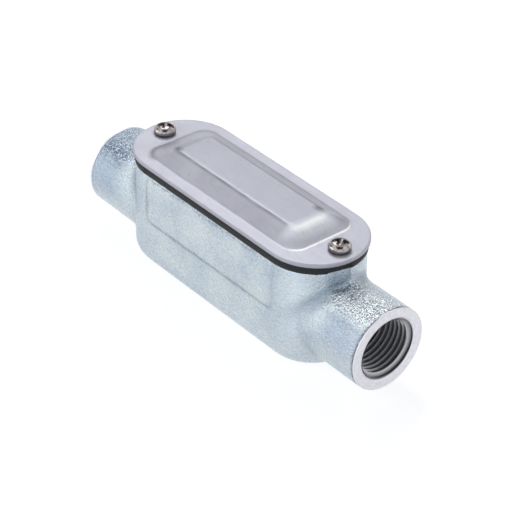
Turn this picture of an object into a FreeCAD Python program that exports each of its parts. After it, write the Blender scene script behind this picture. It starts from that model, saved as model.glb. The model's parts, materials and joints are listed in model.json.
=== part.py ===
import FreeCAD, Part
import math
import os
from FreeCAD import Vector

# In-line (type C) conduit body for 1/2 in conduit, in millimetres.
# The body lies along X and opens upwards (+Z); the origin is on the plane it rests on, below its middle.
# A cast body with two threaded hubs carries a rubber gasket and a stamped cover, held by two screws.

# Cast body
BODY_LENGTH = 97.9            # at the rim, over the round ends
BODY_WIDTH = 32.8             # at the rim
WALL_FLARE = 0.5              # each side stands out this much further at the bottom than at the rim
BOTTOM_ROUND = 7.0            # outer radius between the walls and the bottom
WALL = 2.75
FLOOR = 2.8
CORE_BEVEL = 3.0              # sloping edge between the walls and the floor, inside

# Raised panel on the front wall
PANEL_LENGTH = 63.2
PANEL_BASE = 19.3             # height of its lower edge
PANEL_TOP_GAP = 1.4           # from its upper edge to the rim
PANEL_RAISE = 0.4             # above the wall, and the width of its sloping border
PANEL_CORNER = 2.0

# Flat ground on the front half of the +X end, where the gate of the mould was
GATE_FLAT_ANGLE = -13.7       # direction it faces, from +X
GATE_FLAT_DEPTH = 0.45        # below the round end, at the rim
GATE_FLAT_DROP = 6.5          # how far it runs down from the rim
GATE_FLAT_SPARE = 0.2         # its cut is wider than the flat by this much on each side

# Hubs
HUB_DIAMETER = 28.6
HUB_REACH = 18.75             # from the end of the rim to the hub's face
HUB_RISE = 2.8                # underside of the hub above the resting face
HUB_DROP = 5.75               # top of the hub below the rim
HUB_BLEND = 3.0               # fillet between hub and body
HUB_EDGE_CHAMFER = 0.5
BORE_DIAMETER = 21.2          # root of the 1/2-14 pipe thread
BORE_LENGTH = 15.9            # from the hub's face to the bushing lip
MOUTH_CHAMFER = 0.45
THROAT_DIAMETER = 15.2
LIP_CHAMFER = 1.5

# Cover screws: No. 8-32, pan head, cross recess
SCREW_INSET = 5.25            # from the end of the rim to the screw's axis
SCREW_DIAMETER = 4.1
SCREW_LENGTH = 12.7           # under the head
SCREW_POINT = 0.5
HEAD_DIAMETER = 7.4
HEAD_HEIGHT = 3.0
HEAD_SIDE = 1.3               # straight side below the crown
HEAD_STEPS = 3                # conical bands that make up the crown
RECESS_SPAN = 4.0
RECESS_FLOOR_SPAN = 1.4
RECESS_WIDTH = 0.95
RECESS_DEPTH = 1.9
RECESS_TURN = {"near": 20.0, "far": 35.0}
THREAD_PLAY = 0.04            # radial, between the screw and its hole in the body
COVER_HOLE_PLAY = 0.3         # radial, between the screw and the cover
GASKET_HOLE_PLAY = 0.2        # radial, between the screw and the gasket

# Screw bosses inside the body's ends
BOSS_WALL = 2.5               # metal round the screw hole
BOSS_SPARE = 0.9              # boss below the end of the screw
BOSS_TAPER = 1.6              # height of the cone below the boss

# Gasket
GASKET_THICKNESS = 2.65
GASKET_END_INSET = 0.5        # inside the cover's edge
GASKET_SIDE_INSET = 0.1
GASKET_REVEAL = 0.25          # its opening is larger than the chamber by this much all round

# Cover
COVER_SHEET = 1.5
COVER_END_OVERHANG = 0.85
COVER_SIDE_OVERHANG = 0.9
COVER_EDGE_CHAMFER = 0.35
EMBOSS_END_GAP = 12.5        # from the cover's end to the foot of the raised centre
EMBOSS_SIDE_GAP = 4.2        # from the cover's side to the foot of the raised centre
EMBOSS_END_RUN = 8.0          # length of the sloping ends, in plan
EMBOSS_SIDE_RUN = 6.1         # width of the sloping sides, in plan
EMBOSS_HEIGHT = 3.6
EMBOSS_CORNER = 5.4           # radius of its slanting corners
EMBOSS_BLEND = 0.9            # bend radius of the sheet, on the inner side of each bend

MATCH = 0.01                  # two measures closer than this are the same
NEAR = 0.1                    # margin for telling which part an edge belongs to
THROUGH = 5.0                 # how far cutting tools run past a face

# Worked out from the sizes above
HUB_AXIS = HUB_RISE + HUB_DIAMETER / 2
BODY_HEIGHT = HUB_RISE + HUB_DIAMETER + HUB_DROP
HUB_FACE = BODY_LENGTH / 2 + HUB_REACH
END_CENTRE = (BODY_LENGTH - BODY_WIDTH) / 2
SCREW_X = BODY_LENGTH / 2 - SCREW_INSET
GASKET_BASE = BODY_HEIGHT
COVER_BASE = GASKET_BASE + GASKET_THICKNESS
COVER_TOP = COVER_BASE + COVER_SHEET
BOSS_RADIUS = SCREW_DIAMETER / 2 + THREAD_PLAY + BOSS_WALL
BOSS_DEPTH = SCREW_LENGTH - COVER_SHEET - GASKET_THICKNESS + BOSS_SPARE
COVER_LENGTH = BODY_LENGTH + 2 * COVER_END_OVERHANG
COVER_WIDTH = BODY_WIDTH + 2 * COVER_SIDE_OVERHANG


def obround(length, width, z):
    """Closed wire of a slot shape, long in X, centred on the origin."""
    radius = width / 2
    reach = length / 2 - radius
    corners = [Vector(-reach, -radius, z), Vector(reach, -radius, z),
               Vector(reach, radius, z), Vector(-reach, radius, z)]
    right = Part.Arc(corners[1], Vector(reach + radius, 0, z), corners[2])
    left = Part.Arc(corners[3], Vector(-reach - radius, 0, z), corners[0])
    return Part.Wire([Part.LineSegment(corners[0], corners[1]).toShape(), right.toShape(),
                      Part.LineSegment(corners[2], corners[3]).toShape(), left.toShape()])


def obround_block(length, width, z, height):
    return Part.Face(obround(length, width, z)).extrude(Vector(0, 0, height))


def upright(radius, x, bottom, top):
    return Part.makeCylinder(radius, top - bottom, Vector(x, 0, bottom))


def level_edges(shape, z):
    """Edges that lie in the horizontal plane at z."""
    return [e for e in shape.Edges if abs(e.BoundBox.ZMin - z) < MATCH and e.BoundBox.ZLength < MATCH]


def mirrored_ends(shape):
    """The shape at the +X end together with its mirror image at the -X end."""
    return [shape, shape.mirror(Vector(0, 0, 0), Vector(1, 0, 0))]


def body_shell():
    """Outside of the body without its hubs: an obround box, wider at the foot, with a round bottom edge."""
    rim, foot = BODY_WIDTH / 2, BODY_WIDTH / 2 + WALL_FLARE
    section = [Vector(-END_CENTRE, -foot, 0), Vector(-END_CENTRE, foot, 0),
               Vector(-END_CENTRE, rim, BODY_HEIGHT), Vector(-END_CENTRE, -rim, BODY_HEIGHT)]
    middle = Part.Face(Part.makePolygon(section + [section[0]])).extrude(Vector(2 * END_CENTRE, 0, 0))
    ends = [Part.makeCone(foot, rim, BODY_HEIGHT, Vector(x, 0, 0)) for x in (-END_CENTRE, END_CENTRE)]
    shell = middle.fuse(ends).removeSplitter()
    return shell.makeFillet(BOTTOM_ROUND, level_edges(shell, 0))


def gate_flat_tool():
    """Block outside the plane of the ground flat."""
    radius = BODY_WIDTH / 2
    reach = radius - GATE_FLAT_DEPTH
    half_width = math.sqrt(radius ** 2 - reach ** 2) + GATE_FLAT_SPARE
    bottom = BODY_HEIGHT - GATE_FLAT_DROP
    block = Part.makeBox(radius, 2 * half_width, COVER_TOP - bottom)
    block.translate(Vector(reach, -half_width, bottom))
    block.rotate(Vector(0, 0, 0), Vector(0, 0, 1), GATE_FLAT_ANGLE)
    block.translate(Vector(END_CENTRE, 0, 0))
    return block


def panel():
    """Raised panel on the front wall, with a sloping border."""
    height = BODY_HEIGHT - PANEL_TOP_GAP - PANEL_BASE
    wall_y = BODY_WIDTH / 2 + WALL_FLARE * (1 - PANEL_BASE / BODY_HEIGHT)
    face_y = -(wall_y + PANEL_RAISE)
    plate = Part.makeBox(PANEL_LENGTH, WALL / 2 + PANEL_RAISE, height,
                         Vector(-PANEL_LENGTH / 2, face_y, PANEL_BASE))
    corners = [e for e in plate.Edges if e.BoundBox.YLength > WALL / 2]
    plate = plate.makeFillet(PANEL_CORNER, corners)
    return plate.makeChamfer(PANEL_RAISE, [e for e in plate.Edges
                                           if e.BoundBox.YMax < face_y + MATCH])


def hub():
    """Outside of the hub at the +X end."""
    return Part.makeCylinder(HUB_DIAMETER / 2, HUB_FACE - END_CENTRE,
                             Vector(END_CENTRE, 0, HUB_AXIS), Vector(1, 0, 0))


def hub_passage():
    """What is cut out of the hub at the +X end: mouth, thread bore, bushing lip and throat."""
    bore = BORE_DIAMETER / 2
    throat = THROAT_DIAMETER / 2
    lip = HUB_FACE - BORE_LENGTH
    inside = Part.makeCylinder(bore, BORE_LENGTH + THROUGH, Vector(lip, 0, HUB_AXIS), Vector(1, 0, 0))
    mouth = Part.makeCone(bore, bore + MOUTH_CHAMFER * 2, MOUTH_CHAMFER * 2,
                          Vector(HUB_FACE - MOUTH_CHAMFER, 0, HUB_AXIS), Vector(1, 0, 0))
    neck = Part.makeCylinder(throat, lip - END_CENTRE, Vector(END_CENTRE, 0, HUB_AXIS),
                             Vector(1, 0, 0))
    passage = inside.fuse([mouth, neck]).removeSplitter()
    lip_edge = [e for e in passage.Edges
                if isinstance(e.Curve, Part.Circle) and abs(e.Curve.Radius - throat) < 1e-6
                and abs(e.BoundBox.XMax - lip) < 1e-6]
    return passage.makeChamfer(LIP_CHAMFER, lip_edge)


def boss():
    """Solid boss for the cover screw at the +X end, standing down from the rim."""
    bottom = BODY_HEIGHT - BOSS_DEPTH
    column = upright(BOSS_RADIUS, SCREW_X, bottom, BODY_HEIGHT)
    taper = Part.makeCone(BOSS_RADIUS - BOSS_TAPER, BOSS_RADIUS, BOSS_TAPER,
                          Vector(SCREW_X, 0, bottom - BOSS_TAPER))
    return column.fuse(taper)


def chamber():
    """Wire chamber inside the body, with its sloping floor edge and without the bosses."""
    length = BODY_LENGTH - 2 * WALL
    width = BODY_WIDTH - 2 * WALL
    core = obround_block(length, width, FLOOR, BODY_HEIGHT - FLOOR + THROUGH)
    return core.makeChamfer(CORE_BEVEL, level_edges(core, FLOOR))


def make_body():
    outside = body_shell().fuse(mirrored_ends(hub())).removeSplitter()
    outside = outside.makeFillet(HUB_BLEND, [e for e in outside.Edges if is_hub_seam(e)])
    outside = outside.cut(gate_flat_tool()).fuse(panel()).removeSplitter()
    core = chamber().cut(mirrored_ends(boss()))
    body = outside.cut(core).cut(mirrored_ends(hub_passage()))
    hole = upright(SCREW_DIAMETER / 2 + THREAD_PLAY, SCREW_X,
                   BODY_HEIGHT - BOSS_DEPTH - BOSS_TAPER - THROUGH, BODY_HEIGHT + THROUGH)
    body = body.cut(mirrored_ends(hole))
    faces = [e for e in body.Edges
             if isinstance(e.Curve, Part.Circle) and abs(e.Curve.Radius - HUB_DIAMETER / 2) < 1e-6
             and abs(abs(e.CenterOfMass.x) - HUB_FACE) < 1e-6]
    return body.makeChamfer(HUB_EDGE_CHAMFER, faces)


def is_hub_seam(edge):
    """True for the edges where a hub's cylinder runs into the body's end."""
    if isinstance(edge.Curve, Part.Line) or abs(edge.CenterOfMass.x) > HUB_FACE - HUB_EDGE_CHAMFER - NEAR:
        return False
    points = edge.discretize(5)
    return all(abs(math.hypot(p.y, p.z - HUB_AXIS) - HUB_DIAMETER / 2) < 1e-3 for p in points)


def make_gasket():
    gasket = obround_block(COVER_LENGTH - 2 * GASKET_END_INSET, COVER_WIDTH - 2 * GASKET_SIDE_INSET,
                           GASKET_BASE, GASKET_THICKNESS)
    opening = obround_block(BODY_LENGTH - 2 * (WALL - GASKET_REVEAL),
                            BODY_WIDTH - 2 * (WALL - GASKET_REVEAL), GASKET_BASE, GASKET_THICKNESS)
    lands = mirrored_ends(upright(BOSS_RADIUS, SCREW_X, GASKET_BASE, COVER_BASE))
    holes = mirrored_ends(upright(SCREW_DIAMETER / 2 + GASKET_HOLE_PLAY, SCREW_X,
                                  GASKET_BASE, COVER_BASE))
    return gasket.cut(opening.cut(lands)).cut(holes).cut(gate_flat_tool())


def raised_centre(inset_end, inset_side, base):
    """The cover's raised centre: a frustum with round corners, standing on the plane at base."""
    x = COVER_LENGTH / 2 - EMBOSS_END_GAP - inset_end
    y = COVER_WIDTH / 2 - EMBOSS_SIDE_GAP - inset_side
    crown_x, crown_y = x - EMBOSS_END_RUN, y - EMBOSS_SIDE_RUN
    frustum = Part.makeWedge(-x, 0, -y, -crown_y, -crown_x, x, EMBOSS_HEIGHT, y, crown_y, crown_x)
    frustum.rotate(Vector(0, 0, 0), Vector(1, 0, 0), 90)
    frustum.translate(Vector(0, 0, base))
    slanted = [e for e in frustum.Edges if e.BoundBox.ZLength > EMBOSS_HEIGHT / 2]
    return frustum.makeFillet(EMBOSS_CORNER, slanted)


def is_within_foot(edge):
    """True for edges no further out than the foot of the cover's raised centre."""
    box = edge.BoundBox
    return (max(abs(box.XMin), abs(box.XMax)) < COVER_LENGTH / 2 - EMBOSS_END_GAP + NEAR
            and max(abs(box.YMin), abs(box.YMax)) < COVER_WIDTH / 2 - EMBOSS_SIDE_GAP + NEAR)


def make_cover():
    outer_bend = EMBOSS_BLEND + COVER_SHEET
    flange = obround_block(COVER_LENGTH, COVER_WIDTH, COVER_BASE, COVER_SHEET)
    flange = flange.makeChamfer(COVER_EDGE_CHAMFER, level_edges(flange, COVER_TOP))
    crown_top = COVER_TOP + EMBOSS_HEIGHT
    crown = raised_centre(0, 0, COVER_TOP)
    crown = crown.makeFillet(outer_bend, level_edges(crown, crown_top))
    cover = flange.fuse(crown).removeSplitter()
    cover = cover.makeFillet(EMBOSS_BLEND, [e for e in level_edges(cover, COVER_TOP)
                                            if is_within_foot(e)])
    shift_end = COVER_SHEET * math.tan(math.atan2(EMBOSS_HEIGHT, EMBOSS_END_RUN) / 2)
    shift_side = COVER_SHEET * math.tan(math.atan2(EMBOSS_HEIGHT, EMBOSS_SIDE_RUN) / 2)
    hollow_top = COVER_BASE + EMBOSS_HEIGHT
    hollow = raised_centre(shift_end, shift_side, COVER_BASE)
    hollow = hollow.makeFillet(EMBOSS_BLEND, level_edges(hollow, hollow_top))
    cover = cover.cut(hollow)
    cover = cover.makeFillet(outer_bend, [e for e in level_edges(cover, COVER_BASE)
                                          if is_within_foot(e)])
    holes = mirrored_ends(upright(SCREW_DIAMETER / 2 + COVER_HOLE_PLAY, SCREW_X,
                                  COVER_BASE, COVER_TOP))
    return cover.cut(holes)


def cross_recess(turn):
    """Cutting tool of a cross recess in a head whose top is at z = 0 and axis on the origin."""
    half, floor = RECESS_SPAN / 2, RECESS_FLOOR_SPAN / 2
    slope = (half - floor) / RECESS_DEPTH
    over = half + slope * THROUGH
    outline = [Vector(-over, -RECESS_WIDTH / 2, THROUGH), Vector(over, -RECESS_WIDTH / 2, THROUGH),
               Vector(floor, -RECESS_WIDTH / 2, -RECESS_DEPTH),
               Vector(-floor, -RECESS_WIDTH / 2, -RECESS_DEPTH)]
    slot = Part.Face(Part.makePolygon(outline + [outline[0]])).extrude(Vector(0, RECESS_WIDTH, 0))
    other = slot.copy()
    other.rotate(Vector(0, 0, 0), Vector(0, 0, 1), 90)
    cross = slot.fuse(other)
    cross.rotate(Vector(0, 0, 0), Vector(0, 0, 1), turn)
    return cross


def screw_head(x):
    """Pan head: a short straight side under a low crown of conical bands."""
    radius, rise = HEAD_DIAMETER / 2, HEAD_HEIGHT - HEAD_SIDE
    crown = (radius ** 2 + rise ** 2) / (2 * rise)
    centre = COVER_TOP + HEAD_HEIGHT - crown
    half_angle = math.asin(radius / crown)
    angles = [half_angle * (1 - i / HEAD_STEPS) for i in range(HEAD_STEPS + 1)]
    outline = [Vector(x, 0, COVER_TOP), Vector(x + radius, 0, COVER_TOP)]
    outline += [Vector(x + crown * math.sin(a), 0, centre + crown * math.cos(a)) for a in angles]
    face = Part.Face(Part.makePolygon(outline + [outline[0]]))
    return face.revolve(Vector(x, 0, 0), Vector(0, 0, 1), 360)


def make_screw(x, turn):
    recess = cross_recess(turn)
    recess.translate(Vector(x, 0, COVER_TOP + HEAD_HEIGHT))
    shank = upright(SCREW_DIAMETER / 2, x, COVER_TOP - SCREW_LENGTH, COVER_TOP)
    shank = shank.makeChamfer(SCREW_POINT, level_edges(shank, COVER_TOP - SCREW_LENGTH))
    return screw_head(x).cut(recess).fuse(shank).removeSplitter()


def write(name, shape):
    solids = shape.Solids
    if len(solids) == 1:
        shape = solids[0]
    shape.exportStep("parts/" + name + ".step")
    print(name, len(solids), "solid", "valid" if shape.isValid() else "NOT VALID",
          "volume %.1f" % shape.Volume)


os.makedirs("parts", exist_ok=True)
write("body", make_body())
write("gasket", make_gasket())
write("cover", make_cover())
write("cover_screw_near", make_screw(SCREW_X, RECESS_TURN["near"]))
write("cover_screw_far", make_screw(-SCREW_X, RECESS_TURN["far"]))
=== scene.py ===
import json
import math

import bmesh
import bpy
from mathutils import Matrix, Vector, noise


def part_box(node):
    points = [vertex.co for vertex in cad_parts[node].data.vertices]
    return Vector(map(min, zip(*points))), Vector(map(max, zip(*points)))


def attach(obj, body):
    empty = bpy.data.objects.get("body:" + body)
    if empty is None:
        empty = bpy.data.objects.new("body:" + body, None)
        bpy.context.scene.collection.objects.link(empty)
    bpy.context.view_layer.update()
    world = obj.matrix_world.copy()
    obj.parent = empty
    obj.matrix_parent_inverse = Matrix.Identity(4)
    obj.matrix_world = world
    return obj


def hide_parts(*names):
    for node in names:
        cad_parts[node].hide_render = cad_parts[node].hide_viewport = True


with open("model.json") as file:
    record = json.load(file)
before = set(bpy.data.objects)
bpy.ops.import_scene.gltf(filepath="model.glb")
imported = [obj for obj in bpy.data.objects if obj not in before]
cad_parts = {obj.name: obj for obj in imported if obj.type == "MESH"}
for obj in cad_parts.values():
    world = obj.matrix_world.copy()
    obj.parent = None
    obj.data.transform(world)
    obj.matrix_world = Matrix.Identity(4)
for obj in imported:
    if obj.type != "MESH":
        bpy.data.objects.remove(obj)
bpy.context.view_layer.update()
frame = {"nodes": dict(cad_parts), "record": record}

# An in-line conduit body: a casting with machined hub ends and pipe threads, a rubber gasket, and a
# stamped cover with two screws. Lengths are in metres, and places in the materials in millimetres.
MM = 0.001
INCH = 25.4 * MM

# ---------------------------------------------------------------- sizes read from the frame
BODY_LOW, BODY_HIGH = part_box("body")
GASKET_LOW, GASKET_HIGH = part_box("gasket")
COVER_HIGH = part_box("cover")[1]
SCREW_LOW, SCREW_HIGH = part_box("cover_screw_near")
HUB_MOUNT = next(mount for mount in frame["record"]["mounts"] if mount["name"] == "hub_right")
HUB_AXIS_Z = HUB_MOUNT["pos_m"][2]
HUB_FACE = BODY_HIGH.x
BORE_RADIUS = HUB_MOUNT["dims"]["r_mm"] * MM
BORE_START = HUB_MOUNT["pos_m"][0]
BORE_LENGTH = HUB_MOUNT["dims"]["length_mm"] * MM
SCREW_X = (SCREW_LOW.x + SCREW_HIGH.x) / 2
HEAD_RADIUS = (SCREW_HIGH.x - SCREW_LOW.x) / 2
HEAD_TOP = SCREW_HIGH.z

# sizes of the hubs, the cover and the screws that the frame doesn't give
HUB_RADIUS = 14.3 * MM
HUB_EDGE = 0.5 * MM                 # round of the outer edge of the hub's face
MOUTH_EDGE = 0.45 * MM              # chamfer round the mouth of the bore
MACHINED_BAND = 0.95 * MM           # how far the tool ran down the outside of the hub
COVER_SHEET = 1.5 * MM
COVER_TOP = GASKET_HIGH.z + COVER_SHEET
EMBOSS_HEIGHT = COVER_HIGH.z - COVER_TOP
EMBOSS_FOOT = (37.3 * MM, 13.1 * MM, 5.4 * MM)      # half length, half width, corner radius
EMBOSS_RUN = (8.0 * MM, 6.1 * MM)                   # of the slopes, at the ends and at the sides
SCREW_RADIUS = 2.05 * MM


# ---------------------------------------------------------------- mesh helpers
MERGE_DISTANCE = 0.002 * MM
SLIVER = 0.001 * MM                 # faces thinner than this are dropped


def link(obj):
    bpy.context.scene.collection.objects.link(obj)
    return obj


def mesh_object(name, vertices, faces):
    mesh = bpy.data.meshes.new(name)
    mesh.from_pydata(vertices, [], faces)
    mesh.validate()
    return link(bpy.data.objects.new(name, mesh))


def copy_of_node(node, name):
    """New object with its own copy of a CAD node's mesh."""
    return link(bpy.data.objects.new(name, frame["nodes"][node].data.copy()))


def smooth(obj, angle):
    """Shade smooth, apart from edges sharper than the angle in degrees."""
    obj.data.shade_smooth()
    obj.data.set_sharp_from_angle(angle=math.radians(angle))


def move(obj, offset):
    """Move the mesh inside its object, which stays at the origin."""
    obj.data.transform(Matrix.Translation(offset))


def edit(obj, work):
    """Run work on the object's mesh as a bmesh, and turn all its faces outwards."""
    bm = bmesh.new()
    bm.from_mesh(obj.data)
    work(bm)
    bmesh.ops.recalc_face_normals(bm, faces=bm.faces)
    bm.to_mesh(obj.data)
    bm.free()
    obj.data.update()


def merge(bm):
    """Join vertices that lie in one place, and drop the faces that this leaves with no area."""
    bmesh.ops.remove_doubles(bm, verts=bm.verts, dist=MERGE_DISTANCE)
    bmesh.ops.dissolve_degenerate(bm, edges=bm.edges, dist=SLIVER)


def slice_at(bm, place, normal):
    """Cut the faces along a plane and remove nothing."""
    bmesh.ops.bisect_plane(bm, geom=bm.verts[:] + bm.edges[:] + bm.faces[:],
                           plane_co=place, plane_no=normal)


def apply_modifiers(obj):
    shape = obj.evaluated_get(bpy.context.evaluated_depsgraph_get())
    mesh = bpy.data.meshes.new_from_object(shape)
    obj.modifiers.clear()
    obj.data = mesh


def cut_away(obj, tools):
    """Subtract the tools from the object, and delete them."""
    for tool in tools:
        step = obj.modifiers.new("cut", "BOOLEAN")
        step.operation = "DIFFERENCE"
        step.solver = "EXACT"
        step.object = tool
    apply_modifiers(obj)
    for tool in tools:
        bpy.data.objects.remove(tool)


def rings_object(name, rings, closed=False, caps=False, gap=None):
    """Mesh over a row of rings that have the same number of points, with no faces after ring gap."""
    count = len(rings[0])
    vertices = [point for ring in rings for point in ring]
    faces = []
    for r in range(len(rings) if closed else len(rings) - 1):
        if r == gap:
            continue
        here, following = r * count, (r + 1) % len(rings) * count
        for k in range(count):
            j = (k + 1) % count
            faces.append((here + k, here + j, following + j, following + k))
    if caps:
        faces.append(tuple(range(count)))
        faces.append(tuple((len(rings) - 1) * count + k for k in range(count)))
    return mesh_object(name, vertices, faces)


def lathe(name, profile, segments, closed=False, caps=False):
    """Body of revolution about Z from (radius, z) pairs."""
    turns = [2 * math.pi * k / segments for k in range(segments)]
    rings = [[(r * math.cos(turn), r * math.sin(turn), z) for turn in turns] for r, z in profile]
    return rings_object(name, rings, closed, caps)


def arc(centre, radius, start, end, steps):
    """Points (radius, z) on an arc, from its start to its end angle in degrees."""
    angles = [math.radians(start + (end - start) * i / steps) for i in range(steps + 1)]
    return [(centre[0] + radius * math.cos(angle), centre[1] + radius * math.sin(angle))
            for angle in angles]


def between(a, b, share):
    return a + (b - a) * share


# ---------------------------------------------------------------- cast body
CAST_VOXEL = 0.58 * MM
CAST_ROUNDING = 2                   # smoothing passes, which round the edges as a sand mould does
CAST_WAVE = ((0.16, 0.09 * MM), (0.55, 0.035 * MM))     # (cycles per mm, height) of the uneven skin
WAVE_PLACE = Vector((3, 7, 11))     # where in the noise the skin is taken from
BAND_RUN = 0.5 * MM                 # length over which the skin goes down under the machined band
BAND_SINK = 0.25 * MM               # how far it then lies below the band
FACE_SINK = 0.35 * MM               # how far it stays behind the machined face
BORE_SINK = 0.35 * MM               # how far it stays outside the bore, behind the thread
BORE_REACH = 0.6 * MM               # skin within this of the bore's radius is the bore's
HUB_WALL = 2 * MM                   # and skin further than this outside it is the hub's outside
THREAD_END = 0.3 * MM               # the inner end of the bore is left as it is for this length
RIM_REACH, RIM_SINK = 0.3 * MM, 0.01 * MM           # the rim is flat, just under the gasket


def skin_height(place):
    """How far the uneven cast skin stands out at a place."""
    return sum(height * noise.noise(place * (scale / MM) + WAVE_PLACE) for scale, height in CAST_WAVE)


def clear_of_machining(place, on_rim):
    """Where a point of the cast skin goes, so that it stays behind what is machined or fitted."""
    across = Vector((place.y, place.z - HUB_AXIS_Z))
    reach, out = across.length, abs(place.x)
    into_band = out - (HUB_FACE - MACHINED_BAND) + BAND_RUN
    if into_band > 0 and reach > BORE_RADIUS + HUB_WALL:
        across *= min(1, (HUB_RADIUS - BAND_SINK * min(into_band / BAND_RUN, 1)) / reach)
    if out > HUB_FACE - BORE_LENGTH - MOUTH_EDGE + THREAD_END and reach < BORE_RADIUS + BORE_REACH:
        across *= (BORE_RADIUS + BORE_SINK) / reach
    x = math.copysign(min(out, HUB_FACE - FACE_SINK), place.x)
    y = min(max(across.x, BODY_LOW.y), BODY_HIGH.y)
    z = BODY_HIGH.z - RIM_SINK if on_rim else max(across.y + HUB_AXIS_Z, 0)
    return x, y, z


def cast_body():
    """The casting with its soft edges and uneven skin, made from a copy of the CAD body."""
    obj = copy_of_node("body", "body_casting")
    step = obj.modifiers.new("remesh", "REMESH")
    step.mode = "VOXEL"
    step.voxel_size = CAST_VOXEL
    apply_modifiers(obj)

    def work(bm):
        for _ in range(CAST_ROUNDING):
            bmesh.ops.smooth_vert(bm, verts=bm.verts, factor=0.5, use_axis_x=True, use_axis_y=True,
                                  use_axis_z=True)
        bm.normal_update()
        places = [v.co + v.normal * skin_height(v.co) for v in bm.verts]
        for v, place in zip(bm.verts, places):
            v.co = clear_of_machining(place, v.co.z > BODY_HIGH.z - RIM_REACH)

    edit(obj, work)
    obj.data.shade_smooth()
    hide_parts("body")
    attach(obj, "housing")
    return obj


BAND_ROUND = 0.12 * MM              # round where the machined band starts
BAND_STEP = 0.1 * MM                # how far back and down the band's first edge is
BAND_ROOT = 0.45 * MM               # how far the ring goes down under the cast skin
MOUTH_ROUND = 0.2 * MM              # round between the face and the mouth's chamfer
MOUTH_LAND = 0.3 * MM               # of the bore, between the chamfer and the thread
MOUTH_ROOT = 0.6 * MM               # how far the ring goes out into the metal behind the land
FACE_OUTER, FACE_INNER = 1.2 * MM, (0.8 * MM, 0.25 * MM)    # extra rings on the flat of the face
HUB_SEGMENTS = 128


def hub_end(name, side):
    """Machined end of one hub: outer band, face and the edge of the mouth."""
    face, inner, start = HUB_FACE, BORE_RADIUS + MOUTH_EDGE, HUB_FACE - MACHINED_BAND
    profile = [(HUB_RADIUS - BAND_ROOT, start - BAND_STEP), (HUB_RADIUS - BAND_STEP, start)]
    profile += arc((HUB_RADIUS - BAND_ROUND, start + BAND_ROUND), BAND_ROUND, -60, 0, 3)
    profile += arc((HUB_RADIUS - HUB_EDGE, face - HUB_EDGE), HUB_EDGE, 0, 90, 8)
    profile += [(HUB_RADIUS - FACE_OUTER, face)] + [(inner + loop, face) for loop in FACE_INNER]
    profile += arc((inner + MOUTH_ROUND, face - MOUTH_ROUND), MOUTH_ROUND, 90, 150, 4)
    land = face - MOUTH_EDGE - MOUTH_LAND
    profile += [(BORE_RADIUS, face - MOUTH_EDGE), (BORE_RADIUS, land),
                (BORE_RADIUS + MOUTH_ROOT, land - BAND_STEP)]
    obj = lathe(name, profile, HUB_SEGMENTS, closed=True)
    obj.data.transform(Matrix.Rotation(math.radians(90 * side), 4, "Y"))
    move(obj, (0, 0, HUB_AXIS_Z))
    edit(obj, lambda bm: None)
    smooth(obj, angle=40)
    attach(obj, "housing")
    return obj


# ---------------------------------------------------------------- threads
PIPE_PITCH = INCH / 14
PIPE_DEPTH = 1.3 * MM
PIPE_TAPER = 1 / 32                 # on the radius, which is 1 in 16 on the diameter
PIPE_STEPS = 120                    # points round one turn
BORE_GAP = 0.04 * MM                # between the thread's root and the bore
# one pitch of the profile, as (share of the pitch, share of the way from root to crest)
THREAD_PROFILE = ((0.0, 0.0), (0.07, 0.0), (0.40, 1.0), (0.60, 1.0), (0.93, 0.0))


def helix(pitch, start, end, steps, radius_at):
    """Vertices and faces of a threaded surface about X, from x = start back to x = end.

    radius_at(behind, share) gives the radius at a distance behind the start, with the share of the
    way from root to crest that the profile has there.
    """
    turns = math.ceil((start - end) / pitch) + 1
    stations = [(turn + share, height) for turn in range(-1, turns) for share, height in THREAD_PROFILE]
    count, per_turn = len(stations), len(THREAD_PROFILE)
    vertices, faces = [], []
    for i in range(steps):
        angle = 2 * math.pi * i / steps
        for pitches, height in stations:
            x = min(max(start - pitch * (pitches + i / steps), end), start)
            radius = radius_at(start - x, height)
            vertices.append((x, radius * math.sin(angle), radius * math.cos(angle)))
    for i in range(steps):
        # the last column meets the first one a whole turn further on
        shift = per_turn if i == steps - 1 else 0
        following = 0 if shift else i + 1
        for k in range(count - 1 - shift):
            a, d = i * count + k, following * count + k + shift
            faces.append((a, a + 1, d + 1, d))
    return vertices, faces


def hub_thread(name, side):
    """Pipe thread of one hub: a sleeve just inside the bore, with its first crests cut back."""
    root = BORE_RADIUS - BORE_GAP

    def radius_at(behind, share):
        return max(root - behind * PIPE_TAPER - share * PIPE_DEPTH, root - behind)

    vertices, faces = helix(PIPE_PITCH, BORE_START, BORE_START - BORE_LENGTH, PIPE_STEPS, radius_at)
    obj = mesh_object(name, [(side * x, side * y, z + HUB_AXIS_Z) for x, y, z in vertices], faces)
    edit(obj, merge)
    smooth(obj, angle=35)
    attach(obj, "housing")
    return obj


# ---------------------------------------------------------------- cover and gasket
# half widths of the bends at the sides and at the ends, as shares of the slope's run
FOOT_BEND = (0.07, 0.10)
CROWN_BEND = (0.12, 0.30)
CROWN_CORNER = 0.5                  # corner radius of the crown, as a share of the foot's
PLATEAU_CORNER = 0.35               # and of the rings on the plateau
COVER_BURR = 0.15 * MM              # chamfer under the flange's edge
COVER_EDGE = 0.35 * MM              # round over the flange's edge
EDGE_STEPS = 5
FLANGE_RINGS = (0.08, 0.3, 0.55, 0.8)       # shares of the way in from the edge
FLANGE_REACH = 1.6 * MM             # of that way's end from the foot
SLOPE_RINGS = 44
PLATEAU_RINGS = (0.66, 0.33, 0.0)
HOLE_GAP = 0.3 * MM                 # between the screw's thread and its hole
HOLE_SEGMENTS = 48
QUARTER_STEPS, LONG_STEPS, SHORT_STEPS = 20, 48, 20     # points on an outline's corners and sides


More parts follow.
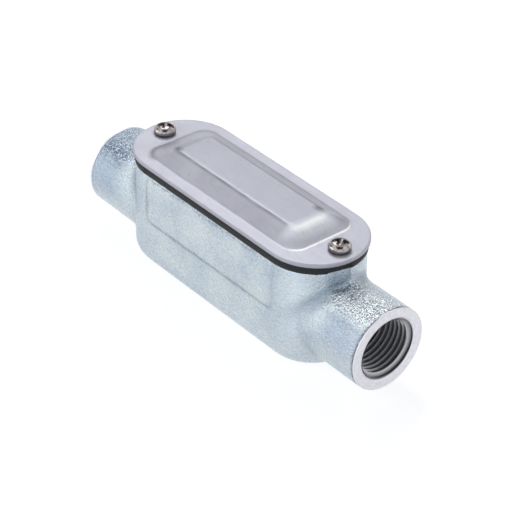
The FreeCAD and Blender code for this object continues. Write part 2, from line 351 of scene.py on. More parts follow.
def rounded_outline(half_x, half_y, corner):
    """Points anticlockwise round a rectangle with round corners, each with its share of facing the end.

    The count is the same whatever the sizes.
    """
    corner = min(corner, half_x, half_y)
    cx, cy = half_x - corner, half_y - corner
    points = []
    for turn, (sx, sy) in enumerate(((1, 1), (-1, 1), (-1, -1), (1, -1))):
        for i in range(QUARTER_STEPS + 1):
            angle = math.pi / 2 * (turn + i / QUARTER_STEPS)
            points.append((sx * cx + corner * math.cos(angle), sy * cy + corner * math.sin(angle),
                           math.cos(angle) ** 2))
        long_side = turn % 2 == 0
        steps = LONG_STEPS if long_side else SHORT_STEPS
        for i in range(1, steps):
            share = 1 - 2 * i / steps
            if long_side:
                points.append((sx * cx * share, sy * half_y, 0.0))
            else:
                points.append((sx * half_x, sy * cy * share, 1.0))
    return points


def level_ring(half_x, half_y, corner, height):
    return [(x, y, height) for x, y, _ in rounded_outline(half_x, half_y, corner)]


def bend(t, low, high):
    """Height share of a slope at share t of its run, with round bends at its foot and its top."""
    if t <= -low:
        return 0.0
    if t >= 1 + high:
        return 1.0
    if t < low:
        return (t + low) ** 2 / (4 * low)
    if t > 1 - high:
        return 1 - (1 + high - t) ** 2 / (4 * high)
    return t


def flange_edge():
    """Rings round the flange's edge, from its chamfer below to its round above."""
    half_x, half_y, base = COVER_HIGH.x, COVER_HIGH.y, COVER_TOP - COVER_SHEET
    rings = [level_ring(half_x - COVER_BURR, half_y - COVER_BURR, half_y, base),
             level_ring(half_x, half_y, half_y, base + COVER_BURR)]
    for i in range(EDGE_STEPS + 1):
        angle = math.pi / 2 * i / EDGE_STEPS
        inset = COVER_EDGE * (1 - math.cos(angle))
        rings.append(level_ring(half_x - inset, half_y - inset, half_y - inset,
                                COVER_TOP - COVER_EDGE + COVER_EDGE * math.sin(angle)))
    return rings


def cover_skin():
    """Rings over the top of the cover, in across the flange, up the slope and over the plateau."""
    foot_x, foot_y, corner = EMBOSS_FOOT
    run_x, run_y = EMBOSS_RUN
    edge_x, edge_y = COVER_HIGH.x - COVER_EDGE, COVER_HIGH.y - COVER_EDGE
    rings = [level_ring(between(edge_x, foot_x + FLANGE_REACH, share),
                        between(edge_y, foot_y + FLANGE_REACH, share),
                        between(edge_y, corner + FLANGE_REACH, share), COVER_TOP)
             for share in FLANGE_RINGS]
    foot, crown = max(FOOT_BEND), max(CROWN_BEND)
    for i in range(SLOPE_RINGS):
        t = between(-foot, 1 + crown, i / (SLOPE_RINGS - 1))
        outline = rounded_outline(foot_x - run_x * t, foot_y - run_y * t,
                                  corner * between(1, CROWN_CORNER, t))
        rings.append([(x, y, COVER_TOP + EMBOSS_HEIGHT * bend(t, between(*FOOT_BEND, end),
                                                              between(*CROWN_BEND, end)))
                      for x, y, end in outline])
    inner_x, inner_y = foot_x - run_x * (1 + crown), foot_y - run_y * (1 + crown)
    for share in PLATEAU_RINGS:
        rings.append(level_ring(inner_x - inner_y * (1 - share), inner_y * share,
                                PLATEAU_CORNER * corner * share, COVER_TOP + EMBOSS_HEIGHT))
    return rings


def make_cover():
    """Stamped cover: a flat flange and a raised centre whose bends are those of pressed sheet."""
    upper = cover_skin()
    lower = [[(x, y, z - COVER_SHEET) for x, y, z in ring] for ring in reversed(upper)]
    outside = flange_edge() + upper
    obj = rings_object("cover_plate", outside + lower, closed=True, gap=len(outside) - 1)
    edit(obj, merge)
    holes = []
    for x in (SCREW_X, -SCREW_X):
        hole = [(SCREW_RADIUS + HOLE_GAP, COVER_TOP + z) for z in (-COVER_SHEET - MM, MM)]
        holes.append(lathe("hole", hole, HOLE_SEGMENTS, caps=True))
        move(holes[-1], (x, 0, 0))
    cut_away(obj, holes)
    smooth(obj, angle=50)
    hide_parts("cover")
    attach(obj, "housing")
    return obj


GASKET_SLICE = 0.8 * MM             # length of the faces along its edge
GASKET_LEVELS = 3                   # rows of them up the edge
GASKET_RIM = 2.2 * MM               # depth of the edge that is ragged
GASKET_INSET = 0.05 * MM            # how far all of the edge stays inside the CAD edge
GASKET_PINCH = 0.12 * MM            # how far its top and bottom stay inside besides
GASKET_RAGGED = 0.1 * MM
GASKET_GRAIN = ((0.45, 1.0), (1.3, 0.5))            # (cycles per mm, share) of the raggedness


def make_gasket():
    """The CAD gasket with the slightly ragged outer edge of die-cut rubber."""
    obj = copy_of_node("gasket", "gasket_rubber_sheet")
    low, high = GASKET_LOW.z, GASKET_HIGH.z
    radius = GASKET_HIGH.y
    centre = GASKET_HIGH.x - radius

    def work(bm):
        bmesh.ops.remove_doubles(bm, verts=bm.verts, dist=MERGE_DISTANCE)
        x = GASKET_LOW.x + GASKET_SLICE / 2
        while x < GASKET_HIGH.x:
            slice_at(bm, (x, 0, 0), (1, 0, 0))
            x += GASKET_SLICE
        for i in range(1, GASKET_LEVELS):
            slice_at(bm, (0, 0, between(low, high, i / GASKET_LEVELS)), (0, 0, 1))
        for v in bm.verts:
            nearest = Vector((min(max(v.co.x, -centre), centre), 0))
            out = Vector((v.co.x, v.co.y)) - nearest
            if out.length < radius - GASKET_RIM:
                continue
            rough = sum(share * noise.noise(v.co * (scale / MM)) for scale, share in GASKET_GRAIN)
            level = (v.co.z - low) / (high - low)
            inset = GASKET_INSET + GASKET_PINCH * (2 * level - 1) ** 2 + GASKET_RAGGED * abs(rough)
            out *= 1 - inset / out.length
            v.co.x, v.co.y = nearest.x + out.x, out.y

    edit(obj, work)
    smooth(obj, angle=45)
    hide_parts("gasket")
    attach(obj, "housing")
    return obj


# ---------------------------------------------------------------- screws
HEAD_HEIGHT = HEAD_TOP - COVER_TOP
HEAD_SIDE = 1.25 * MM               # height at which the dome of the head starts
HEAD_STRAIGHT = 0.7                 # share of that height where its straight side ends
HEAD_DOME = 0.85                    # power of the dome's curve: under 1, it is fuller than an ellipse
HEAD_SEGMENTS, DOME_STEPS = 96, 18
NECK_RADIUS, NECK_DEPTH = SCREW_RADIUS - 0.1 * MM, 0.4 * MM     # below the head, inside the thread
NECK_TIP, DOME_TIP = 0.05 * MM, 0.02 * MM           # radii of the small discs that close the lathe
RECESS_HALF, RECESS_FLOOR = 2.05 * MM, 0.65 * MM    # half length of the cross at its top and floor
RECESS_WIDTH, RECESS_DEPTH = 0.95 * MM, 1.9 * MM
RECESS_OVER = 1.0 * MM              # how far the tool stands over the head
RECESS_POINT = 0.35 * MM            # depth of the point below the floor
POINT_SHARE = 0.02                  # size of the point, as a share of the floor
ARM_OVER, ARM_FLOOR = 1.25, 0.7     # shares of the arms' width, over the head and at the floor
ARM_CORNER = 1.25                   # where two arms meet, as a share of half their width
SCREW_PITCH = INCH / 32
SCREW_DEPTH = 0.45 * MM
SCREW_STEPS = 40
THREAD_DROP = 0.1 * MM              # of the thread's start below the head
THREAD_SHORT = 0.02 * MM            # how much shorter the thread is than the shank
TIP_LENGTH, TIP_RISE, TIP_SHARE = 0.3 * MM, 0.2 * MM, 0.8       # of the cone at the screw's end


def recess_tool(name):
    """Tapered cross that cuts the recess, with its axis on Z and the head's top at z = 0."""
    half_over = RECESS_HALF + (RECESS_HALF - RECESS_FLOOR) * RECESS_OVER / RECESS_DEPTH
    rings = []
    for z, half, wide in ((RECESS_OVER, half_over, RECESS_WIDTH / 2 * ARM_OVER),
                          (-RECESS_DEPTH, RECESS_FLOOR, RECESS_WIDTH / 2 * ARM_FLOOR)):
        ring = []
        for turn in range(4):
            c, s = math.cos(math.pi / 2 * turn), math.sin(math.pi / 2 * turn)
            for x, y in ((half, -wide), (half, wide), (wide * ARM_CORNER, wide * ARM_CORNER)):
                ring.append((x * c - y * s, x * s + y * c, z))
        rings.append(ring)
    rings.append([(x * POINT_SHARE, y * POINT_SHARE, -RECESS_DEPTH - RECESS_POINT)
                  for x, y, _ in rings[-1]])
    return rings_object(name, rings, caps=True)


def screw_head(name, turn):
    """Pan head on a short neck, with its cross recess turned by so many degrees."""
    base, dome = COVER_TOP, COVER_TOP + HEAD_SIDE
    profile = [(NECK_TIP, base - NECK_DEPTH), (NECK_RADIUS, base - NECK_DEPTH), (NECK_RADIUS, base),
               (HEAD_RADIUS - 0.25 * MM, base), (HEAD_RADIUS - 0.08 * MM, base + 0.1 * MM),
               (HEAD_RADIUS, base + 0.35 * MM), (HEAD_RADIUS, base + HEAD_SIDE * HEAD_STRAIGHT)]
    for i in range(DOME_STEPS + 1):
        angle = math.pi / 2 * i / DOME_STEPS
        radius = HEAD_RADIUS * math.cos(angle) ** HEAD_DOME
        profile.append((max(radius, DOME_TIP), dome + (HEAD_HEIGHT - HEAD_SIDE) * math.sin(angle)))
    head = lathe(name, profile, HEAD_SEGMENTS, caps=True)
    tool = recess_tool("recess")
    tool.data.transform(Matrix.Rotation(math.radians(turn), 4, "Z"))
    move(tool, (0, 0, HEAD_TOP))
    cut_away(head, [tool])
    return head


def screw_thread(name):
    """Rolled thread from just below the head to the screw's end, which is a short blunt cone."""
    length = COVER_TOP - SCREW_LOW.z
    root = SCREW_RADIUS - SCREW_DEPTH

    def radius_at(behind, share):
        cone = root + TIP_RISE + (length - TIP_LENGTH - behind)
        return max(min(root + share * SCREW_DEPTH, cone), TIP_SHARE * root)

    def close_end(bm):
        merge(bm)
        bmesh.ops.holes_fill(bm, edges=[e for e in bm.edges if e.is_boundary], sides=0)

    vertices, faces = helix(SCREW_PITCH, 0, THREAD_SHORT - length, SCREW_STEPS, radius_at)
    start = COVER_TOP - THREAD_DROP
    thread = mesh_object(name, [(y, z, start + x) for x, y, z in vertices], faces)
    edit(thread, close_end)
    move(thread, (0, 0, SCREW_LOW.z - min(v.co.z for v in thread.data.vertices)))
    return thread


def make_screw(name, node, body, x, turn):
    """Pan head screw with a cross recess and a rolled thread."""
    head, thread = screw_head(name, turn), screw_thread(name + "_thread")
    for piece in (head, thread):
        smooth(piece, angle=32)
        move(piece, (x, 0, 0))
        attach(piece, body)
    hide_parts(node)
    return [head, thread]


# ---------------------------------------------------------------- material helpers
class Nodes:
    """Short way to write the node tree of a material or world: calls add nodes and return outputs."""

    def __init__(self, owner):
        self.owner = owner
        owner.use_nodes = True
        self.tree = owner.node_tree

    def add(self, kind, inputs=(), output=0, **settings):
        node = self.tree.nodes.new("ShaderNode" + kind)
        for key, value in settings.items():
            setattr(node, key, value)
        for key, value in dict(inputs).items():
            self.put(node.inputs[key], value)
        return node.outputs[output]

    def put(self, socket, value):
        if isinstance(value, bpy.types.NodeSocket):
            self.tree.links.new(value, socket)
        else:
            socket.default_value = value

    def finish(self, **values):
        """Set the Principled shader's sockets, and return the material."""
        shader = self.tree.nodes["Principled BSDF"]
        for key, value in values.items():
            self.put(shader.inputs[key.replace("_", " ")], value)
        return self.owner

    def scaled(self, place, by):
        return self.add("VectorMath", {0: place, 1: by}, operation="MULTIPLY")

    def millimetres(self):
        return self.scaled(self.add("TexCoord", output="Object"), (1 / MM, 1 / MM, 1 / MM))

    def parts(self, place):
        node = self.tree.nodes.new("ShaderNodeSeparateXYZ")
        self.put(node.inputs[0], place)
        return node.outputs[0], node.outputs[1], node.outputs[2]

    def noise(self, place, scale, detail=2.0, roughness=0.5):
        return self.add("TexNoise", {"Vector": place, "Scale": scale, "Detail": detail,
                                     "Roughness": roughness})

    def maths(self, operation, a, b=0.0):
        return self.add("Math", {0: a, 1: b}, operation=operation)

    def plus(self, *terms):
        total = terms[0]
        for term in terms[1:]:
            total = self.maths("ADD", total, term)
        return total

    def minus(self, a, b):
        return self.maths("SUBTRACT", a, b)

    def times(self, *factors):
        total = factors[0]
        for factor in factors[1:]:
            total = self.maths("MULTIPLY", total, factor)
        return total

    def absolute(self, a):
        return self.maths("ABSOLUTE", a)

    def length(self, a, b):
        return self.maths("SQRT", self.plus(self.times(a, a), self.times(b, b)))

    def ramp(self, value, low, high, to_low=0.0, to_high=1.0):
        return self.add("MapRange", {"Value": value, "From Min": low, "From Max": high,
                                     "To Min": to_low, "To Max": to_high})

    def line(self, distance, width, strength=1.0):
        """The strength on a line, falling to nothing at the width's distance from it."""
        return self.ramp(self.absolute(distance), 0, width, strength, 0)

    def outline(self, x, y, half_x, half_y, corner):
        """Distance from a rectangle with round corners: negative inside, positive outside."""
        past_x = self.minus(self.absolute(x), half_x - corner)
        past_y = self.minus(self.absolute(y), half_y - corner)
        outside = self.length(self.maths("MAXIMUM", past_x, 0.0), self.maths("MAXIMUM", past_y, 0.0))
        inside = self.maths("MINIMUM", self.maths("MAXIMUM", past_x, past_y), 0.0)
        return self.minus(self.plus(outside, inside), corner)

    def mix(self, share, a, b):
        node = self.tree.nodes.new("ShaderNodeMix")
        node.data_type = "RGBA"
        for socket, value in zip((node.inputs[0], node.inputs[6], node.inputs[7]), (share, a, b)):
            self.put(socket, value)
        return node.outputs[2]

    def layers(self, colour, *layers):
        """The colour with each (share, colour) layer laid over it in turn."""
        for share, over in layers:
            colour = self.mix(share, colour, over)
        return colour

    def bump(self, height, distance, strength=1.0):
        return self.add("Bump", {"Height": height, "Distance": distance, "Strength": strength})


def new_material(name):
    return Nodes(bpy.data.materials.new(name))


def rgb(red, green, blue):
    return (red, green, blue, 1.0)


WHITE = rgb(1, 1, 1)

# ---------------------------------------------------------------- materials of the casting
# Places are in millimetres: x along the hubs, along the same without its sign, y across with the
# panel at -y, z up from the floor, and rise up from the hubs' axis. A mask is 1 where its finish, or
# its painted shade or painted light, is.
HUB_AXIS_MM, HUB_FACE_MM, HUB_RADIUS_MM = HUB_AXIS_Z / MM, HUB_FACE / MM, HUB_RADIUS / MM
PANEL_HALF = (31.6, 8.2)            # half length and half height of the raised panel
PANEL_MIDDLE = 27.5                 # height of its middle
PANEL_CORNER = 2.0
WALL_RADIUS, WALL_CENTRE = 16.4, 32.55      # the round ends of the body and their centres

ZINC_BLUE, ZINC_PALE = rgb(0.50, 0.59, 0.68), rgb(0.65, 0.72, 0.77)
ZINC_GREEN = rgb(0.64, 0.73, 0.73)
ZINC_FLECK = rgb(0.80, 0.84, 0.86)
ZINC_PIT = rgb(0.20, 0.26, 0.34)
# the colours from here on are painted shade, painted light and painted glints on the casting
HUB_SHADE = rgb(0.34, 0.42, 0.54)
WALL_LIGHT = rgb(0.80, 0.90, 0.98)
HUB_GLINT = rgb(0.92, 0.97, 1.0)
BORDER_SHADE = rgb(0.26, 0.31, 0.37)
CREASE_SHADE = rgb(0.16, 0.22, 0.29)
GATE_SHADE = rgb(0.16, 0.24, 0.33)
SEAM_SHADE = rgb(0.14, 0.20, 0.28)
LIP_SHADE = rgb(0.12, 0.13, 0.16)
SPECKLE_SHADE = rgb(0.12, 0.17, 0.28)


def panel_masks(n, x, y, z):
    """The raised panel on the front wall, and a line of painted shade round it, which fades towards +X.
    """
    front = n.ramp(y, -12.0, -14.0)
    edge = n.outline(x, n.minus(z, PANEL_MIDDLE), *PANEL_HALF, PANEL_CORNER)
    inside = n.ramp(edge, -0.3, 0.5, 1, 0)
    beside_edge = n.line(n.minus(edge, 0.2), 1.3)
    fading = n.ramp(x, 20, 31, 1, 0.4)
    return n.times(front, inside), n.times(front, beside_edge, fading)


def seam_mask(n, along, y, rise):
    """The seam of the mould, up the middle of the end wall over each hub: a bump, and a line of painted
    shade.
    """
    end_wall = n.ramp(along, 46, 48)
    over_hub = n.ramp(rise, 15.5, 17.5)
    return n.times(n.line(y, 0.45), end_wall, over_hub)


def crease_mask(n, along, y, rise):
    """Painted shade in the crease where each hub runs into the end wall, darkest at its top."""
    from_wall = n.minus(n.length(n.minus(along, WALL_CENTRE), y), WALL_RADIUS)
    from_hub = n.minus(n.length(y, rise), HUB_RADIUS_MM)
    beside_crease = n.ramp(n.length(from_wall, from_hub), 1.3, 3.3, 1, 0)
    towards_top = n.ramp(rise, 1, 11, 0.15, 1)
    return n.times(beside_crease, towards_top)


def gate_shade_mask(n, x, y, rise):
    """Painted shade on the flat ground on the panel's half of the +X end wall, where the gate of the
    mould was.
    """
    end_wall, upper = n.ramp(x, 44, 46), n.ramp(rise, 12, 15)
    outer_side, inner_side = n.ramp(y, -9, -5.5), n.ramp(y, -0.3, 0.1, 1, 0)
    return n.times(end_wall, outer_side, inner_side, upper)


def hub_shade_mask(n, x, rise):
    """Painted shade on the upper side of the -X hub, and in a band along the +X hub."""
    left_hub = n.times(n.ramp(x, -50, -56), n.ramp(rise, -9, 2))
    right_hub = n.times(n.ramp(x, 50, 54), n.ramp(rise, -2, 5, 0, 0.9), n.ramp(rise, 9, 12, 1, 0.1))
    return n.maths("MAXIMUM", left_hub, right_hub)


def wall_light_mask(n, x, y, rise):
    """Painted light on the round of the wall beside the +X hub."""
    beside_hub = n.line(n.minus(x, 40.0), 6.0)
    return n.times(beside_hub, n.ramp(y, -6, -9), n.ramp(rise, -8, -2))


def coarse_mask(n, along, y, rise):
    """Coarser grain on top of both hubs, on the panel's side."""
    past_wall, panel_side = n.ramp(along, 48, 51), n.ramp(y, 4, 0)
    above, below = n.ramp(rise, 10, 12.5), n.ramp(rise, 15, 16.5, 1, 0)
    return n.times(past_wall, above, below, panel_side)


def speck_shade_mask(n, x, y, rise):
    """Painted shade in specks on the shoulder of the -X hub."""
    return n.times(n.ramp(x, -52, -56), n.line(n.plus(y, 8.0), 5.0), n.ramp(rise, 6, 9))


def cast_zinc():
    """Zinc plating over a sand-cast skin: grain, clouds, flecks and pits, with painted shade, painted
    light and painted glints in some places.
    """
    n = new_material("cast_zinc")
    place = n.millimetres()
    x, y, z = n.parts(place)
    along, rise = n.absolute(x), n.minus(z, HUB_AXIS_MM)
    panel, border = panel_masks(n, x, y, z)
    seam = seam_mask(n, along, y, rise)
    coarse = coarse_mask(n, along, y, rise)
    # painted shade on the skin just behind the +X hub's band
    lip = n.ramp(n.minus(HUB_FACE_MM, x), 1.7, 1.2)     # skin just behind the +X hub's band
    right_hub = n.ramp(x, 0, 1)
    clouds, tint = n.noise(place, 0.07, 3.0, 0.6), n.noise(place, 0.13, 2.0)
    mottle, grain = n.noise(place, 0.9, 4.0, 0.65), n.noise(place, 1.7, 2.0, 0.55)
    pits, facets = n.noise(place, 2.3, 1.0, 0.5), n.noise(place, 1.35, 1.0, 0.4)
    colour = n.layers(
        n.mix(n.ramp(clouds, 0.35, 0.65), ZINC_BLUE, ZINC_PALE),
        (n.ramp(tint, 0.52, 0.7, 0, 0.4), ZINC_GREEN),
        (n.ramp(mottle, 0.45, 0.66, 0, 0.35), ZINC_FLECK),
        (n.ramp(pits, 0.63, 0.72, 0, 0.3), ZINC_PIT),
        # painted shade on the upper side of the -X hub and along the +X hub
        (n.times(hub_shade_mask(n, x, rise), 0.6), HUB_SHADE),
        # painted shade along the panel's edge
        (n.times(border, n.ramp(clouds, 0.4, 0.6, 0.55, 0.3)), BORDER_SHADE),
        # painted light on the round of the wall beside the +X hub
        (n.times(wall_light_mask(n, x, y, rise), 0.5), WALL_LIGHT),
        # painted shade in the crease between each hub and the end wall
        (n.times(crease_mask(n, along, y, rise), 0.6), CREASE_SHADE),
        # painted shade on the +X end wall above the hub
        (n.times(gate_shade_mask(n, x, y, rise), 0.5), GATE_SHADE),
        # painted shade along the seam
        (n.times(seam, 0.6), SEAM_SHADE),
        # painted shade just behind the +X hub's band
        (n.times(lip, n.ramp(mottle, 0.3, 0.6, 0.9, 0.3)), LIP_SHADE),
        # painted glints on the coarse grain on top of the +X hub
        (n.times(coarse, right_hub, n.ramp(facets, 0.38, 0.47, 0, 0.9)), HUB_GLINT),
        # painted shade in specks on the -X hub's shoulder
        (n.times(speck_shade_mask(n, x, y, rise), n.ramp(facets, 0.58, 0.50, 0, 0.9)), SPECKLE_SHADE))
    height = n.plus(n.times(grain, 0.4), n.times(mottle, 0.3), n.times(facets, coarse, 0.9),
                    n.times(panel, 0.3), n.times(seam, 0.4))
    return n.finish(Base_Color=colour, Metallic=0.78, Normal=n.bump(height, MM),
                    Roughness=n.minus(n.ramp(mottle, 0.35, 0.7, 0.22, 0.36), n.times(coarse, 0.06)))


TURNED_DARK, TURNED_PALE = rgb(0.82, 0.82, 0.87), rgb(0.94, 0.93, 0.98)
RING_SHADE = rgb(0.44, 0.44, 0.49)
# BAND_SHADE is painted shade on the outer band of the +X hub
BAND_SHADE = rgb(0.10, 0.11, 0.13)


def machined_zinc():
    """Turned face with the tool's rings round the hub's axis, and a band of painted shade behind it at
    +X.
    """
    n = new_material("machined_zinc")
    place = n.millimetres()
    x, y, z = n.parts(place)
    radius = n.length(y, n.minus(z, HUB_AXIS_MM))
    right_band = n.times(n.ramp(x, 0, 1), n.ramp(n.minus(HUB_FACE_MM, x), 0.35, 0.6))
    rings = n.add("TexNoise", {"W": radius, "Scale": 5.0, "Detail": 3.0}, noise_dimensions="1D")
    marks = n.noise(place, 0.8, 3.0, 0.6)
    colour = n.layers(
        n.mix(n.ramp(marks, 0.35, 0.65), TURNED_DARK, TURNED_PALE),
        (n.ramp(rings, 0.4, 0.7, 0, 0.4), RING_SHADE),
        # painted shade on the band behind the +X face
        (n.times(right_band, n.ramp(marks, 0.3, 0.6, 0.6, 1.0)), BAND_SHADE))
    height = n.plus(rings, n.times(marks, 0.8))
    return n.finish(Base_Color=colour, Metallic=0.75, Roughness=0.42,
                    Normal=n.bump(height, 0.08 * MM, 0.5))


# where the thread is brightest and darkest, in millimetres
CREST_RADIUS, ROOT_RADIUS = (BORE_RADIUS - PIPE_DEPTH) / MM, BORE_RADIUS / MM - 0.15
CREST_METAL, ROOT_SHADE = rgb(0.55, 0.55, 0.58), rgb(0.16, 0.16, 0.17)


def cut_thread():
    """Cut thread: bright on the crests, dark with oil and shade in the roots."""
    n = new_material("cut_thread")
    place = n.millimetres()
    _, y, z = n.parts(place)
    depth = n.ramp(n.length(y, n.minus(z, HUB_AXIS_MM)), CREST_RADIUS, ROOT_RADIUS)
    return n.finish(Base_Color=n.mix(depth, CREST_METAL, ROOT_SHADE), Metallic=0.8, Roughness=0.36,
                    Normal=n.bump(n.noise(place, 1.4, 3.0), 0.06 * MM, 0.5))


# ---------------------------------------------------------------- materials of the cover and screws
SHEET_DARK, SHEET_PALE = rgb(0.45, 0.45, 0.515), rgb(0.54, 0.545, 0.61)
STREAK_SHADE = rgb(0.40, 0.40, 0.45)
# painted shade over the plateau
PLATEAU_SHADE = rgb(0.22, 0.23, 0.27)
# grey of the painted shade at the bends and of the dark spots and scuffs, then the painted highlight at
# the +X crown
SHADE_AND_SCUFF = rgb(0.12, 0.12, 0.15)
BEND_HIGHLIGHT = rgb(0.85, 0.86, 0.92)
SPOTS = ((26.5, 6.2), (-28.0, -6.4))        # mm, on the plateau
SPOT_HALF = (2.6, 1.9)


def sheet_bends(n, x, y, streaks):
    """Layers of painted shade and painted highlights over the plateau and at the bends.

    The plateau is painted darker, the lines along the sides are painted shade, the foot is painted
    shade at -X, and the crown and the foot have painted highlights at +X.
    """
    foot_x, foot_y, corner = (size / MM for size in EMBOSS_FOOT)
    crown_x, crown_y = foot_x - EMBOSS_RUN[0] / MM, foot_y - EMBOSS_RUN[1] / MM
    # how far a place is from the outlines of the crown and the foot
    crown = n.outline(x, y, crown_x, crown_y, corner * CROWN_CORNER)
    foot = n.outline(x, y, foot_x, foot_y, corner)
    sides = n.ramp(n.absolute(x), crown_x - 3, crown_x + 1, 1, 0)
    # streaks break up the painted shade along the bends
    streak_break = n.ramp(streaks, 0.35, 0.65, 0.5, 1)
    panel_side = n.ramp(y, -3, 3, 0.85, 0.3)
    left_foot = n.times(n.line(foot, 1.6), n.ramp(x, -30, -34), n.ramp(y, -2, -8, 0.25, 0.6))
    right_foot = n.times(n.line(foot, 0.55), n.ramp(x, 34, 37))
    right_crown = n.times(n.line(n.minus(crown, 1.8), 4.5), n.ramp(x, 27, 30),
                          n.ramp(streaks, 0.4, 0.7, 0.6, 1.0))
    right_middle = n.times(n.line(n.minus(crown, 1.3), 1.9), n.ramp(x, 28, 30),
                           n.ramp(n.absolute(y), 4, 8, 0.9, 0))
    # painted shade over the plateau, along the bends and at the -X foot, and painted highlights at the
    # +X foot and crown
    return [(n.ramp(crown, -1.5, 0.5, 0.36, 0), PLATEAU_SHADE),
            (n.times(n.line(n.minus(crown, 0.3), 0.8), sides, streak_break, panel_side), SHADE_AND_SCUFF),
            (n.times(n.line(foot, 0.6), sides, streak_break, 0.3), SHADE_AND_SCUFF),
            (left_foot, SHADE_AND_SCUFF),
            (right_foot, WHITE),
            (right_crown, BEND_HIGHLIGHT),
            (right_middle, WHITE)]


def sheet_marks(n, x, y, place):
    """Layers of marks: two dark spots near corners of the plateau, and thin scuffs of handling in
    patches.
    """
    layers = []
    for spot_x, spot_y in SPOTS:
        away = n.length(n.maths("DIVIDE", n.minus(x, spot_x), SPOT_HALF[0]),
                        n.maths("DIVIDE", n.minus(y, spot_y), SPOT_HALF[1]))
        layers.append((n.ramp(away, 0.0, 1.0, 0.85, 0), SHADE_AND_SCUFF))
    lines = n.line(n.minus(n.noise(n.scaled(place, (0.45, 1.0, 1.0)), 0.22, 3.0, 0.5), 0.5), 0.007)
    patches = n.ramp(n.noise(place, 0.3, 2.0), 0.5, 0.62)
    layers.append((n.times(lines, patches, 0.38), SHADE_AND_SCUFF))
    return layers


def cover_sheet():
    """Pressed zinc-plated sheet: matt, with lengthwise streaks, painted shade and painted highlights at
    the bends, dark spots, and scuffs of handling.
    """
    n = new_material("cover_sheet")
    place = n.millimetres()
    x, y, _ = n.parts(place)
    streaks = n.noise(n.scaled(place, (0.12, 1.0, 1.0)), 1.1, 4.0, 0.6)
    clouds = n.noise(place, 0.09, 4.0, 0.6)
    colour = n.layers(
        n.mix(n.ramp(clouds, 0.3, 0.7), SHEET_DARK, SHEET_PALE),
        (n.ramp(streaks, 0.5, 0.75, 0, 0.4), STREAK_SHADE),
        *sheet_bends(n, x, y, streaks),
        *sheet_marks(n, x, y, place))
    height = n.plus(streaks, n.times(n.noise(place, 2.2, 2.0), 0.4))
    return n.finish(Base_Color=colour, Metallic=0.5, Roughness=n.ramp(clouds, 0.3, 0.7, 0.42, 0.52),
                    Normal=n.bump(height, 0.06 * MM, 0.5))


RUBBER_DARK, RUBBER_PALE = rgb(0.012, 0.012, 0.013), rgb(0.04, 0.04, 0.043)


def gasket_rubber():
    """Black rubber with a fine dull speckle."""
    n = new_material("gasket_rubber")
    speckle = n.noise(n.millimetres(), 1.6, 3.0, 0.6)
    return n.finish(Base_Color=n.mix(n.ramp(speckle, 0.35, 0.65), RUBBER_DARK, RUBBER_PALE),
                    Specular_IOR_Level=0.3, Roughness=n.ramp(speckle, 0.3, 0.7, 0.5, 0.75),
                    Normal=n.bump(speckle, 0.15 * MM, 0.6))


STEEL_DARK, STEEL_PALE = rgb(0.24, 0.21, 0.21), rgb(0.52, 0.49, 0.49)
# painted shade at the head's foot, and a painted dark reflection on its top
HEAD_BASE_SHADE = rgb(0.035, 0.03, 0.03)
HEAD_TOP_SHADE = rgb(0.05, 0.04, 0.045)


def stainless():
    """Polished steel of the screws, with faint marks of handling, painted shade at the head's foot and
    a painted dark reflection on its top.
    """
    n = new_material("stainless")
    place = n.millimetres()
    marks = n.noise(place, 0.9, 4.0, 0.6)
    _, _, z = n.parts(place)
    over_cover, under_top = n.minus(z, COVER_TOP / MM), n.minus(HEAD_TOP / MM, z)
    colour = n.layers(
        n.mix(n.ramp(marks, 0.35, 0.65), STEEL_DARK, STEEL_PALE),
        # painted shade at the head's foot, where it meets the cover
        (n.ramp(over_cover, 0.3, 1.3, 0.9, 0), HEAD_BASE_SHADE),
        # painted dark reflection on the top of the head
        (n.ramp(under_top, 0.55, 0.15, 0, 0.7), HEAD_TOP_SHADE))
    return n.finish(Base_Color=colour, Metallic=1.0, Roughness=n.ramp(marks, 0.3, 0.7, 0.12, 0.22),
                    Normal=n.bump(marks, 0.03 * MM, 0.4))


def paint(obj, material):
    obj.data.materials.clear()
    obj.data.materials.append(material)


# ---------------------------------------------------------------- studio
VIEW_AZIMUTH = math.radians(49.525)         # from the -Y side towards +X
VIEW_ELEVATION = math.radians(34.537)
VIEW_ROLL = math.radians(1.398)
VIEW_DISTANCE = 646.45 * MM
VIEW_AIM = Vector((-1.74, 5.38, 11.74)) * MM
VIEW_LENS, VIEW_SENSOR = 137.9, 36          # mm
VIEW_NEAREST = 10 * MM

# each lamp or card: its name, the direction in which it stands, its distance and its size, and then
# the lamp's power in watts or the card's grey
LAMP_AIM = Vector((0, 0, 0.03))
LAMPS = (("far_softbox", (-0.52, 0.34, 0.78), 0.56, (0.22, 0.22), 0.95),
         ("front_softbox", (-0.5, -0.9, 0.45), 1.6, (1.2, 1.0), 4.8),
         ("right_softbox", (0.80, -0.70, 0.35), 1.6, (0.9, 0.9), 1.0))
CARDS = (("flag_top", (0.12, -0.10, 1.0), 1.9, (1.2, 1.2), 0.03),
         ("flag_far", (-0.58, 0.64, 0.44), 1.9, (2.0, 0.8), 0.05),
         ("flag_left", (-0.72, -0.30, 0.62), 1.9, (0.7, 0.6), 0.05))
CARD_ROUGHNESS = 0.9

FLOOR_SIZE = 6.0
FLOOR_DROP = 0.05 * MM              # keeps the floor's face apart from the casting's
FLOOR_COLOUR = rgb(0.42, 0.42, 0.42)
FLOOR_GLOW = 0.78                   # what camera and reflections see besides, so that it is pale
WORLD_LIGHT = rgb(0.50, 0.52, 0.55)


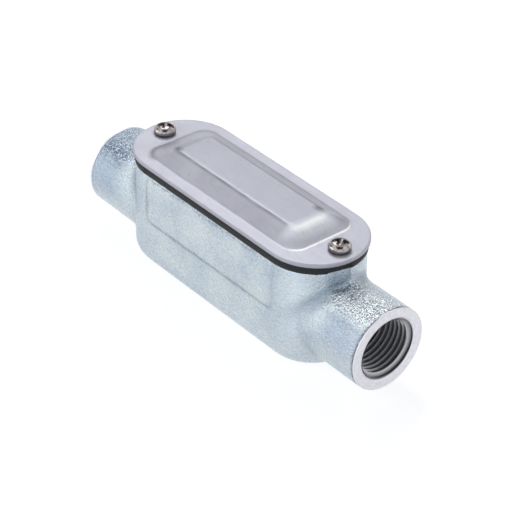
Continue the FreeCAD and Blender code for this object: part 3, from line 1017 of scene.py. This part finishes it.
def add_camera():
    a, e, r = VIEW_AZIMUTH, VIEW_ELEVATION, VIEW_ROLL
    back = Vector((math.sin(a) * math.cos(e), -math.cos(a) * math.cos(e), math.sin(e)))
    level = Vector((math.cos(a), math.sin(a), 0))
    upward = back.cross(level)
    right = level * math.cos(r) + upward * math.sin(r)
    top = upward * math.cos(r) - level * math.sin(r)
    camera = link(bpy.data.objects.new("camera", bpy.data.cameras.new("camera")))
    camera.data.lens = VIEW_LENS
    camera.data.sensor_width = VIEW_SENSOR
    camera.data.clip_start = VIEW_NEAREST
    axes = Matrix((right, top, back)).transposed().to_4x4()
    camera.matrix_world = Matrix.Translation(VIEW_AIM + back * VIEW_DISTANCE) @ axes
    bpy.context.scene.camera = camera


def facing(aim, towards, distance):
    """Matrix of what stands at a distance from the aim and turns its -Z side to it."""
    direction = Vector(towards).normalized()
    turn = direction.to_track_quat("Z", "Y").to_matrix().to_4x4()
    return Matrix.Translation(aim + direction * distance) @ turn


def add_softbox(name, towards, distance, size, power):
    """Area lamp that lights the object from its direction, and that the camera doesn't see."""
    lamp = link(bpy.data.objects.new(name, bpy.data.lights.new(name, "AREA")))
    lamp.data.shape = "RECTANGLE"
    lamp.data.size, lamp.data.size_y = size
    lamp.data.energy = power
    lamp.visible_camera = False
    lamp.matrix_world = facing(LAMP_AIM, towards, distance)


def card(name, width, height):
    x, y = width / 2, height / 2
    return mesh_object(name, [(-x, -y, 0), (x, -y, 0), (x, y, 0), (-x, y, 0)], [(0, 1, 2, 3)])


def add_flag(name, towards, distance, size, grey):
    """Dark card that the camera doesn't see, which gives the metal something to reflect."""
    flag = card(name, *size)
    flag.matrix_world = facing(Vector(), towards, distance)
    flag.visible_camera = False
    paint(flag, new_material(name).finish(Base_Color=rgb(grey, grey, grey), Roughness=CARD_ROUGHNESS))


def seen_as_background(n):
    """1 for rays from the camera and for reflected and transmitted ones, and 0 for the rest."""
    path = n.tree.nodes.new("ShaderNodeLightPath").outputs
    direct = n.maths("MAXIMUM", path["Is Camera Ray"], path["Is Glossy Ray"])
    return n.maths("MAXIMUM", direct, path["Is Transmission Ray"])


def add_world():
    """White to the camera and in reflections, and a soft light on everything else."""
    n = Nodes(bpy.data.worlds.new("studio"))
    n.put(n.tree.nodes["Background"].inputs[0], n.mix(seen_as_background(n), WORLD_LIGHT, WHITE))
    bpy.context.scene.world = n.owner


def add_floor():
    """Pale floor that takes the object's shadow."""
    floor = card("floor", FLOOR_SIZE, FLOOR_SIZE)
    floor.location.z = -FLOOR_DROP
    n = new_material("floor_white")
    n.tree.nodes.remove(n.tree.nodes["Principled BSDF"])
    diffuse = n.add("BsdfDiffuse", {"Color": FLOOR_COLOUR})
    glow = n.add("Emission", {"Strength": n.times(seen_as_background(n), FLOOR_GLOW)})
    n.put(n.tree.nodes["Material Output"].inputs[0], n.add("AddShader", {0: diffuse, 1: glow}))
    paint(floor, n.owner)


bpy.context.scene.view_settings.view_transform = "Standard"
add_camera()
add_world()
add_floor()
for lamp in LAMPS:
    add_softbox(*lamp)
for flag in CARDS:
    add_flag(*flag)

# ---------------------------------------------------------------- the object
CAST, MACHINED, THREAD = cast_zinc(), machined_zinc(), cut_thread()
RUBBER, SHEET, STEEL = gasket_rubber(), cover_sheet(), stainless()
paint(cast_body(), CAST)
for name, side in (("right", 1), ("left", -1)):
    paint(hub_end("hub_end_" + name, side), MACHINED)
    paint(hub_thread("hub_thread_" + name, side), THREAD)
paint(make_gasket(), RUBBER)
paint(make_cover(), SHEET)
for name, node, body, x, turn in (("screw_near", "cover_screw_near", "screw_near", SCREW_X, 20),
                                  ("screw_far", "cover_screw_far", "screw_far", -SCREW_X, 35)):
    for piece in make_screw(name, node, body, x, turn):
        paint(piece, STEEL)
